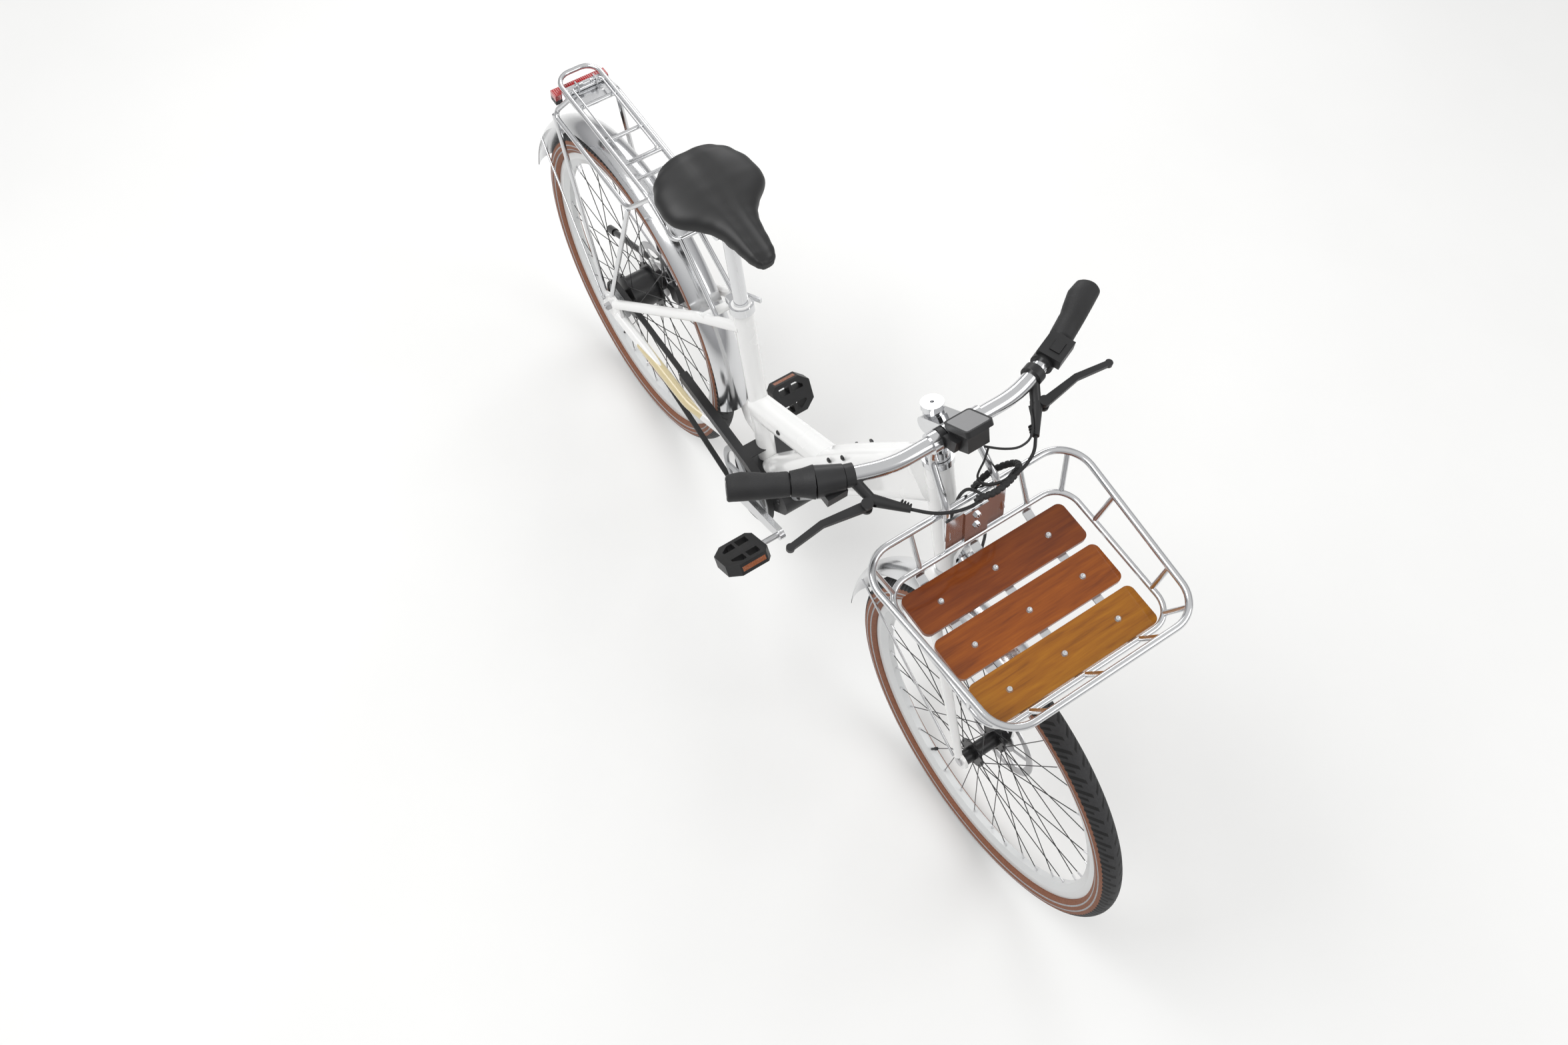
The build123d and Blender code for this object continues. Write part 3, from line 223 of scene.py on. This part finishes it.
def tyre(name, centre):
    """Black treaded crown, brown skin walls with two grey reflective lines."""
    bead_r, wall = 0.310, 0.048
    rib_half, edge_half, crown_r = 0.0035, 0.0125, 0.3435
    m = Mat(name, (0.03, 0.03, 0.03), 0.7)
    r = m.radius_about(centre)
    y = m.math("ABSOLUTE", m.xyz()[1])
    scaled = m.math("DIVIDE", m.math("SUBTRACT", r, bead_r), wall)
    brown, dark, grey = (0.27, 0.105, 0.055), (0.036, 0.036, 0.038), (0.42, 0.42, 0.43)
    stops = [(0.0, dark), (0.10, brown), (0.30, grey), (0.355, brown), (0.50, grey), (0.555, brown),
             (0.72, dark)]
    side = m.ramp(scaled, stops, "CONSTANT")
    speck = m.ramp(m.noise(260, 3), [(0.3, (0.72, 0.72, 0.72)), (0.7, (1, 1, 1))])
    wall_color = m.mix(1.0, side, speck, "MULTIPLY")
    # tread blocks: angled grooves over the crown, with a centre rib; the grooves are bumped and also
    # coloured near-black as painted shade
    a = m.angle_about(centre)
    slanted = m.math("SUBTRACT", m.math("MULTIPLY", a, 84.0), m.math("MULTIPLY", y, 260.0))
    wave = m.math("SINE", slanted)
    beyond = m.math("GREATER_THAN", y, rib_half)
    groove = m.math("MULTIPLY", m.math("GREATER_THAN", wave, 0.62), beyond)
    short = m.math("GREATER_THAN", m.math("SINE", m.math("ADD", slanted, pi)), 0.80)
    edge = m.math("MULTIPLY", short, m.math("GREATER_THAN", y, edge_half))
    crown = m.math("GREATER_THAN", r, crown_r)
    shaded_groove = m.math("MULTIPLY", m.math("MAXIMUM", groove, edge), crown)
    tread = m.math("SUBTRACT", 1.0, shaded_groove)
    thread = m.math("MULTIPLY", m.math("SINE", m.math("MULTIPLY", r, 6500.0)), 0.04)
    m.bump(m.math("ADD", tread, thread), 1.0, 0.0016)
    # painted shade: the tread grooves are coloured near-black, darker than the rubber around them
    m.color(m.mix(shaded_groove, wall_color, (0.003, 0.003, 0.003)))
    m.vary("Roughness", m.noise(60, 2), 0.6, 0.82)
    return m.m


def spokes(name, centre):
    """Black spokes with bright nipples at the rim."""
    nipple_r = 0.2765
    m = Mat(name, (0.02, 0.02, 0.02), 0.35, 0.6)
    r = m.radius_about(centre)
    near = m.math("GREATER_THAN", r, nipple_r)
    m.color(m.mix(near, (0.016, 0.016, 0.017), (0.72, 0.72, 0.73)))
    m.link(near, m.b.inputs["Metallic"])
    m.vary("Roughness", m.noise(200, 2), 0.2, 0.38)
    return m.m


def wood():
    """Oiled slats, each slat a little lighter than the one behind it."""
    deck_back, deck_depth = at(1066, 0, 0).x, 0.241
    m = Mat("wood", (0.42, 0.14, 0.03), 0.36, coat=0.3, spec=0.3)
    grain = m.node("TexNoise")
    grain.inputs["Scale"].default_value = 26
    grain.inputs["Detail"].default_value = 7
    grain.inputs["Distortion"].default_value = 0.35
    m.link(m.scaled((4.6, 0.42, 4.0)), grain.inputs["Vector"])
    fine = m.noise(300, 5, (2.4, 0.09, 1))
    tone = m.math("ADD", m.math("MULTIPLY", grain.outputs["Fac"], 0.72), m.math("MULTIPLY", fine, 0.28))
    warm = m.ramp(tone, [(0.30, (0.150, 0.030, 0.0008)), (0.44, (0.225, 0.050, 0.001)),
                         (0.56, (0.265, 0.064, 0.0015)), (0.74, (0.33, 0.088, 0.003))])
    x = m.math("DIVIDE", m.math("SUBTRACT", m.xyz()[0], deck_back), deck_depth)
    light = m.ramp(x, [(0.0, (0.74, 0.62, 0.70)), (0.33, (0.78, 0.68, 0.75)), (0.37, (0.95, 0.92, 0.9)),
                       (0.66, (1.0, 1.0, 1.0)), (0.70, (1.2, 1.75, 1.6)), (1.0, (1.25, 1.9, 1.8))])
    m.color(m.mix(1.0, warm, light, "MULTIPLY"))
    m.bump(tone, 0.05, 0.0003)
    m.vary("Roughness", fine, 0.25, 0.42)
    return m.m


def grip_rubber():
    m = Mat("rubber", (0.022, 0.022, 0.023), 0.62)
    v = m.node("TexVoronoi")
    v.inputs["Scale"].default_value = 520
    m.link(m.coord, v.inputs["Vector"])
    m.bump(v.outputs["Distance"], 0.35, 0.0006)
    m.vary("Roughness", m.noise(30, 3), 0.5, 0.72)
    m.color(m.ramp(m.noise(14, 3), [(0.35, (0.009, 0.009, 0.0095)), (0.75, (0.018, 0.018, 0.019))]))
    return m.m


def leather():
    m = Mat("saddle_cover", (0.022, 0.021, 0.021), 0.42)
    v = m.node("TexVoronoi", feature="DISTANCE_TO_EDGE")
    v.inputs["Scale"].default_value = 620
    m.link(m.coord, v.inputs["Vector"])
    cell = m.math("MINIMUM", v.outputs["Distance"], 0.18)
    height = m.math("ADD", m.math("MULTIPLY", cell, 3.0), m.math("MULTIPLY", m.noise(90, 4), 0.3))
    m.bump(height, 0.10, 0.0003)
    m.color(m.ramp(m.noise(7, 4), [(0.3, (0.007, 0.007, 0.0072)), (0.7, (0.012, 0.012, 0.0125))]))
    m.vary("Roughness", m.noise(18, 3), 0.46, 0.54)
    return m.m


def lens(name, color, pitch):
    m = Mat(name, color, 0.12, coat=1.0)
    o = m.xyz()
    a = m.math("SINE", m.math("MULTIPLY", o[1], pitch))
    b = m.math("SINE", m.math("MULTIPLY", o[2], pitch))
    cells = m.math("MULTIPLY", a, b)
    m.bump(cells, 0.5, 0.0008)
    dark = tuple(v * 0.55 for v in color)
    m.color(m.ramp(m.math("ADD", m.math("MULTIPLY", cells, 0.5), 0.5), [(0.2, dark), (0.8, color)]))
    return m.m


def screen_glass():
    m = Mat("screen", (0.30, 0.30, 0.305), 0.22, 0.3, coat=1.0)
    m.vary("Roughness", m.noise(900, 2), 0.18, 0.30)
    m.color(m.ramp(m.noise(4, 2), [(0.3, (0.25, 0.25, 0.255)), (0.7, (0.31, 0.31, 0.315))]))
    return m.m


def brushed(name, color):
    m = Mat(name, color, 0.3, 1.0)
    n = m.noise(700, 3, (1, 0.15, 1))
    m.vary("Roughness", n, 0.22, 0.42)
    m.bump(n, 0.08, 0.0002)
    m.color(m.ramp(m.noise(25, 3), [(0.3, tuple(v * 0.8 for v in color)), (0.7, color)]))
    return m.m


MATS = {
    "frame_paint": frame_paint(),
    "polished_alloy": metal("polished_alloy", (0.70, 0.705, 0.715), 0.13, 0.20),
    "chrome": metal("chrome", (0.72, 0.725, 0.735), 0.05, 0.10, bump=0.01),
    "black_metal": satin_black("black_metal", (0.007, 0.007, 0.0075), 0.26, 0.40, 500, 0.05),
    "steel": brushed("steel", (0.58, 0.58, 0.59)),
    "rim_paint": rim_paint(),
    "black_plastic": satin_black("black_plastic", (0.008, 0.008, 0.0085), 0.36, 0.52, 1300, 0.2),
    "grey_metal": satin_black("grey_metal", (0.26, 0.265, 0.27), 0.32, 0.48, 700, 0.08),
    "rubber": grip_rubber(),
    "wood": wood(),
    "saddle_cover": leather(),
    "red_lens": lens("red_lens", (0.50, 0.010, 0.012), 1500),
    "amber_lens": lens("amber_lens", (0.42, 0.10, 0.012), 1700),
    "screen": screen_glass(),
}
SLOT_OF = {s["node"]: s["material_slot"] for s in frame["record"]["subparts"]}
SPECIAL = {
    "chain_stays": stay_paint(),
    "rear_tyre": tyre("tyre_rear", REAR_C),
    "front_tyre": tyre("tyre_front", FRONT_C),
    "rear_spokes": spokes("spokes_rear", REAR_C),
    "front_spokes": spokes("spokes_front", FRONT_C),
}
for name, obj in NODES.items():
    obj.data.materials.clear()
    obj.data.materials.append(SPECIAL.get(name) or MATS[SLOT_OF[name]])
    obj.data.polygons.foreach_set("use_smooth", [True] * len(obj.data.polygons))
    obj.data.set_sharp_from_angle(angle=radians(32))


# ---- mesh helpers ------------------------------------------------------------------------------
def mesh_object(name, verts, faces, body, mat):
    me = bpy.data.meshes.new(name)
    me.from_pydata([tuple(v) for v in verts], [], faces)
    me.update()
    bm = bmesh.new()
    bm.from_mesh(me)
    bmesh.ops.recalc_face_normals(bm, faces=bm.faces)
    bm.to_mesh(me)
    bm.free()
    me.polygons.foreach_set("use_smooth", [True] * len(me.polygons))
    me.set_sharp_from_angle(angle=radians(38))
    obj = bpy.data.objects.new(name, me)
    bpy.context.scene.collection.objects.link(obj)
    me.materials.append(MATS[mat])
    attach(obj, body)
    return obj


def tube_faces(count, seg):
    """Quads between the rings of a tube, and a face over each end."""
    faces = []
    for i in range(count - 1):
        for k in range(seg):
            k2 = (k + 1) % seg
            faces.append((i * seg + k, i * seg + k2, (i + 1) * seg + k2, (i + 1) * seg + k))
    faces.append(tuple(range(seg)))
    faces.append(tuple(reversed(range((count - 1) * seg, count * seg))))
    return faces


def smooth_path(points, step):
    """Catmull-Rom points at about the given spacing."""
    pts = [Vector(p) for p in points]
    pts = [pts[0] * 2 - pts[1]] + pts + [pts[-1] * 2 - pts[-2]]
    out = []
    for i in range(1, len(pts) - 2):
        a, b, c, d = pts[i - 1:i + 3]
        n = max(2, int((c - b).length / step))
        for k in range(n):
            t = k / n
            out.append(0.5 * ((2 * b) + (c - a) * t + (2 * a - 5 * b + 4 * c - d) * t * t
                              + (3 * b - a - 3 * c + d) * t ** 3))
    out.append(pts[-2])
    return out


def sweep_tube(name, points, radius, body, mat, seg=14, step=0.003, shape=None):
    """A tube along a smooth path; shape(s, a) scales its radius by the length so far and the angle."""
    path = smooth_path(points, step)
    verts = []
    normal = None
    length = 0.0
    for i, p in enumerate(path):
        tangent = (path[min(i + 1, len(path) - 1)] - path[max(i - 1, 0)]).normalized()
        if normal is None:
            normal = tangent.orthogonal().normalized()
        else:
            normal = (normal - tangent * normal.dot(tangent)).normalized()
            length += (p - path[i - 1]).length
        other = tangent.cross(normal)
        for k in range(seg):
            a = tau * k / seg
            r = radius * (shape(length, a) if shape else 1.0)
            verts.append(p + (normal * cos(a) + other * sin(a)) * r)
    return mesh_object(name, verts, tube_faces(len(path), seg), body, mat)


def lathe(name, profile, origin, axis, body, mat, seg=32):
    """A turned piece: profile is (distance along the axis, radius) in metres."""
    axis = Vector(axis).normalized()
    u = axis.orthogonal().normalized()
    v = axis.cross(u)
    verts = []
    for h, r in profile:
        for k in range(seg):
            a = tau * k / seg
            verts.append(origin + axis * h + (u * cos(a) + v * sin(a)) * max(r, 1e-5))
    return mesh_object(name, verts, tube_faces(len(profile), seg), body, mat)


def button_screw(name, origin, axis):
    """A domed black screw head with a socket, on the frame."""
    r = 0.0055
    h = r * 0.55
    prof = [(-0.0005, r), (0.0004, r), (h * 0.7, r * 0.86), (h, r * 0.55), (h, r * 0.34),
            (h * 0.35, r * 0.32), (h * 0.3, 0.0)]
    return lathe(name, prof, origin, axis, "frame", "black_metal", 24)


def rings_object(name, rings, body, mat):
    """A closed skin over rings of points."""
    verts = [p for ring in rings for p in ring]
    return mesh_object(name, verts, tube_faces(len(rings), len(rings[0])), body, mat)


# ---- saddle ------------------------------------------------------------------------------------
def interpolate(table, x):
    """The table's row at x, eased between its neighbours."""
    for a, b in zip(table, table[1:]):
        if a[0] <= x <= b[0]:
            t = (x - a[0]) / (b[0] - a[0])
            t = t * t * (3 - 2 * t)
            return [p + (q - p) * t for p, q in zip(a[1:], b[1:])]
    return table[-1][1:]


def saddle():
    """A crowned cover with a soft centre channel and a rolled lower edge."""
    # distance along, half width, top height
    table = [(207, 34, 972), (211, 48, 979), (218, 62, 984), (238, 82, 988), (268, 95, 988), (300, 98, 986),
             (322, 94, 983), (338, 78, 981), (352, 60, 979), (370, 45, 977), (392, 36, 975), (420, 31, 972),
             (448, 26, 969), (463, 20, 965), (470, 13, 961)]
    edge_z, lowest_z = 952, 940.4
    back, front = table[0][0], table[-1][0]
    rings = []
    count, steps = 48, 44
    xs = [back + (front - back) * (0.5 - 0.5 * cos(pi * i / steps)) for i in range(steps + 1)]
    for x in xs:
        half, top = interpolate(table, x)
        ring = []
        for k in range(count):
            a = tau * k / count
            c, s = cos(a), sin(a)
            y = half * (abs(c) ** 0.68) * (1 if c >= 0 else -1)
            if s >= 0:
                z = edge_z + (top - edge_z) * (s ** 0.85)
                channel = max(0.0, 1 - (y / 17) ** 2) ** 1.5
                z -= 6.5 * channel * min(1.0, max(0.25, (x - 212) / 30)) * s ** 2
            else:
                z = edge_z - 11.5 * (abs(s) ** 0.55)
                y *= 1 - 0.10 * abs(s)
            ring.append(at(x, y, max(z, lowest_z)))
        rings.append(ring)
    for end, x, scale in ((0, 206.0, 0.72), (-1, 471.2, 0.7)):
        centre = sum(rings[end], Vector()) / count
        end_x = at(x, 0, 0).x
        ring = [Vector((end_x, p.y * scale, centre.z + (p.z - centre.z) * scale)) for p in rings[end]]
        rings.insert(0 if end == 0 else len(rings), ring)
    obj = rings_object("saddle_skin", rings, "seat", "saddle_cover")
    sub = obj.modifiers.new("soft", "SUBSURF")
    sub.levels = sub.render_levels = 1
    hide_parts("saddle")


saddle()


# ---- grips -------------------------------------------------------------------------------------
BAR_END, BAR_BEND = Vector((857, 331, BAR_Z)), Vector((919, 209, BAR_Z))


def bar_frame(sign, s):
    """A point s along the bar from its end, and the bar's direction there."""
    d = (BAR_BEND - BAR_END).normalized()
    p = BAR_END + d * s
    return Vector((p.x, sign * p.y, p.z)), Vector((d.x, sign * d.y, 0))


def grip(sign, length):
    """An ergonomic grip: round at its ends, with a palm wing towards the rider on the outer half."""
    up = Vector((0, 0, 1))
    rings = []
    count, steps = 40, 44
    for i in range(steps + 1):
        t = i / steps
        s = length * t
        p, d = bar_frame(sign, s)
        side = up.cross(d).normalized()
        if side.x > 0:
            side = -side   # towards the rider
        edge = min(1.0, min(t, 1 - t) / 0.045)
        base = 15.6 + 2.7 * sqrt(max(0.0, 1 - (1 - edge) ** 2))
        base += 0.8 * sin(pi * t)
        if sign < 0 and t < 0.1:
            base = 18.4 if t > 0.02 else 16.5
        wing = (7.0 if sign > 0 else 4.5) * max(0.0, 1 - abs(t - 0.24) / 0.36) ** 0.8 * edge
        ring = []
        for k in range(count):
            a = tau * k / count
            rad = base + wing * max(0.0, cos(a - 0.25)) ** 2.4
            groove = 0.35 if (s * 10) % 42 < 8 and abs(sin(a)) < 0.75 and 0.3 < t < 0.9 else 0.0
            rad -= groove
            q = p + side * (cos(a) * rad) + up * (sin(a) * rad * 0.96)
            ring.append(at(*q))
        rings.append(ring)
    return rings_object(f"grip_{'left' if sign > 0 else 'right'}", rings, "steering", "rubber")


left_grip = grip(1, 113)
grip(-1, 90)
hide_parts("grips")


# ---- hoses: the spiral-wrapped loom and the loops under the display -------------------------------
def wrap(pitch, depth, width):
    """A spiral band that stands out from a hose."""
    def shape(s, a):
        turn = (s / pitch - a / tau) % 1.0
        return 1.0 + (depth if turn < width else 0.0)
    return shape


LOOM = [(1042, -18, 1040), (1048, 10, 1044), (1044, 42, 1046), (1032, 66, 1040), (1018, 74, 1024),
        (1004, 62, 1004), (997, 42, 984), (995, 27, 960)]
LOOM_WRAP = wrap(0.009, 0.22, 0.62)
sweep_tube("hose_loom", [at(*p) for p in LOOM], 0.0045, "steering", "rubber", 20, 0.0012, LOOM_WRAP)
LOOP = [(1006, 16, 1104), (1014, 6, 1090), (1022, -8, 1066), (1032, 4, 1046), (1040, 30, 1044),
        (1034, 58, 1052)]
sweep_tube("cable_loop", [at(*p) for p in LOOP], 0.0017, "steering", "rubber", 10, 0.003)
BOOT = [(0, 0.0048), (0.0006, 0.0058), (0.0018, 0.0058), (0.0024, 0.0048)]
for sign, y in ((1, 104), (-1, -122)):
    for k in range(4):
        p = at(1010 - 4.0 * k, y + sign * 1.6 * k * 1.3, 1070)
        lathe(f"hose_boot_{'l' if sign > 0 else 'r'}{k}", BOOT, p, (0.9, -sign * 0.42, 0),
              "steering", "rubber", 24)


# ---- rear clip springs ---------------------------------------------------------------------------
PIVOT_X, PIVOT_Z = -150, 831


def coil(name, y0, y1):
    """A spring of seven turns around the clip's pivot."""
    pts = []
    turns, per_turn, coil_r = 7, 14, 4.3
    for i in range(turns * per_turn + 1):
        a = tau * i / per_turn
        y = y0 + (y1 - y0) * i / (turns * per_turn)
        pts.append(at(PIVOT_X + coil_r * cos(a), y, PIVOT_Z + coil_r * sin(a)))
    sweep_tube(name, pts, 0.0008, "rack_spring_clip", "chrome", 8, 0.002)


coil("clip_spring_left", 8.5, 16.5)
coil("clip_spring_right", -8.5, -16.5)


# ---- small fittings ------------------------------------------------------------------------------
def fitting_screws():
    """Frame screws on both sides, and the two hexagon bolts of the head plate."""
    motor_left, motor_right = 50, -41
    spots = [("down_bolt_1", 722, 700, 30.0, -30.0), ("down_bolt_2", 756, 757, 30.0, -30.0),
             ("cross_bolt", 560, 562, 23.0, -23.0), ("cover_bolt_1", 640, 432, 23.3, -23.3),
             ("motor_bolt_1", 470, 340, motor_left, motor_right),
             ("motor_bolt_2", 545, 345, motor_left, motor_right),
             ("motor_bolt_3", 470, 284, motor_left, motor_right),
             ("motor_bolt_4", 532, 276, motor_left, motor_right),
             ("motor_bolt_5", 600, 372, motor_left, motor_right)]
    for name, x, z, left, right in spots:
        button_screw(name, at(x, left, z), (0, 1, 0))
        button_screw(name + "_r", at(x, right, z), (0, -1, 0))
    hexagon = [(-0.001, 0.0065), (0.0045, 0.0065), (0.0055, 0.0052), (0.0055, 0.003), (0.002, 0.003)]
    for i, (x, z) in enumerate(((1036.0, 966), (1040.5, 942))):
        lathe(f"plate_bolt_{i}", hexagon, at(x, 0, z), (0.98, 0, 0.19), "steering", "chrome", 6)


fitting_screws()


def valve(centre, body, name):
    """A capped valve that stands inwards from the rim."""
    a = radians(250)
    rim_r = 0.291
    p = centre + Vector((cos(a), 0, sin(a))) * rim_r
    d = Vector((-cos(a), 0, -sin(a)))
    stem = [(0, 0.003), (0.002, 0.003), (0.002, 0.0025), (0.022, 0.0025), (0.022, 0.0036), (0.032, 0.0036),
            (0.033, 0.002)]
    lathe(name, stem, p, d, body, "rubber", 16)


valve(REAR_C, "rear_wheel", "valve_rear")
valve(FRONT_C, "front_wheel", "valve_front")

# lamp glass
lathe("lamp_lens", [(0.0, 0.0155), (0.0006, 0.0155), (0.0016, 0.012), (0.0020, 0.006), (0.0021, 0.0)],
      at(1074.0, 0, 826), (1, 0, 0), "steering", "screen", 40)


def crank_caps():
    cap = [(0, 0.0135), (0.0012, 0.0135), (0.002, 0.012), (0.002, 0.005), (0.0008, 0.0048), (0.0008, 0.0)]
    for sign in (1, -1):
        lathe(f"crank_cap_{'l' if sign > 0 else 'r'}", cap, at(CRANK_X, sign * 84, CRANK_Z), (0, sign, 0),
              "crank", "black_metal", 32)


crank_caps()


# ---- stage, light and camera -----------------------------------------------------------------------
def stage():
    """A pale floor, a soft white surround and three area lights."""
    me = bpy.data.meshes.new("floor")
    s, z = 14, -0.0005
    me.from_pydata([(-s, -s, z), (s, -s, z), (s, s, z), (-s, s, z)], [], [(0, 1, 2, 3)])
    floor = bpy.data.objects.new("floor", me)
    bpy.context.scene.collection.objects.link(floor)
    m = Mat("floor", (0.86, 0.86, 0.85), 0.6, spec=0.3)
    m.color(m.ramp(m.noise(1.2, 4), [(0.3, (0.845, 0.845, 0.835)), (0.7, (0.875, 0.875, 0.865))]))
    me.materials.append(m.m)
    world = bpy.data.worlds.new("studio")
    bpy.context.scene.world = world
    world.use_nodes = True
    nt = world.node_tree
    bg = nt.nodes["Background"]
    tc = nt.nodes.new("ShaderNodeTexCoord")
    sep = nt.nodes.new("ShaderNodeSeparateXYZ")
    ramp = nt.nodes.new("ShaderNodeValToRGB")
    nt.links.new(tc.outputs["Generated"], sep.inputs[0])
    nt.links.new(sep.outputs[2], ramp.inputs["Fac"])
    els = ramp.color_ramp.elements
    els[0].position, els[0].color = 0.0, (0.42, 0.42, 0.43, 1)
    els[1].position, els[1].color = 0.75, (1.0, 1.0, 1.0, 1)
    mid = els.new(0.22)
    mid.color = (0.62, 0.62, 0.63, 1)
    nt.links.new(ramp.outputs["Color"], bg.inputs["Color"])
    bg.inputs["Strength"].default_value = 0.78
    for name, loc, size, power, aim in (
            ("key", (-0.9, -1.6, 3.6), 2.2, 62, (0, 0, 0.5)),
            ("fill", (2.6, 2.2, 3.0), 2.6, 34, (0, 0, 0.6)),
            ("rim", (-2.4, 1.8, 2.2), 1.6, 22, (0, 0, 0.6))):
        light = bpy.data.lights.new(name, "AREA")
        light.shape = "RECTANGLE"
        light.size, light.size_y = size, size * 0.7
        light.energy = power
        o = bpy.data.objects.new(name, light)
        o.location = loc
        o.rotation_euler = (Vector(aim) - Vector(loc)).to_track_quat("-Z", "Y").to_euler()
        bpy.context.scene.collection.objects.link(o)


def camera():
    """A camera above the front right, with a small lens shift for the framing."""
    cam = bpy.data.cameras.new("camera")
    cam.sensor_width = 36
    cam.lens = 31.64
    cam.shift_x, cam.shift_y = -0.00449, 0.00798
    cam.clip_start, cam.clip_end = 0.05, 60
    o = bpy.data.objects.new("camera", cam)
    bpy.context.scene.collection.objects.link(o)
    right = Vector((0.5568, 0.8295, 0.0443)).normalized()
    back = Vector((0.3584, -0.288, 0.888)).normalized()
    up = back.cross(right).normalized()
    right = up.cross(back)
    rot = Matrix((right, up, back)).transposed().to_4x4()
    o.matrix_world = Matrix.Translation(at(1645.2, -840.5, 2774.1)) @ rot
    bpy.context.scene.camera = o
    bpy.context.scene.view_settings.view_transform = "Standard"


stage()
camera()
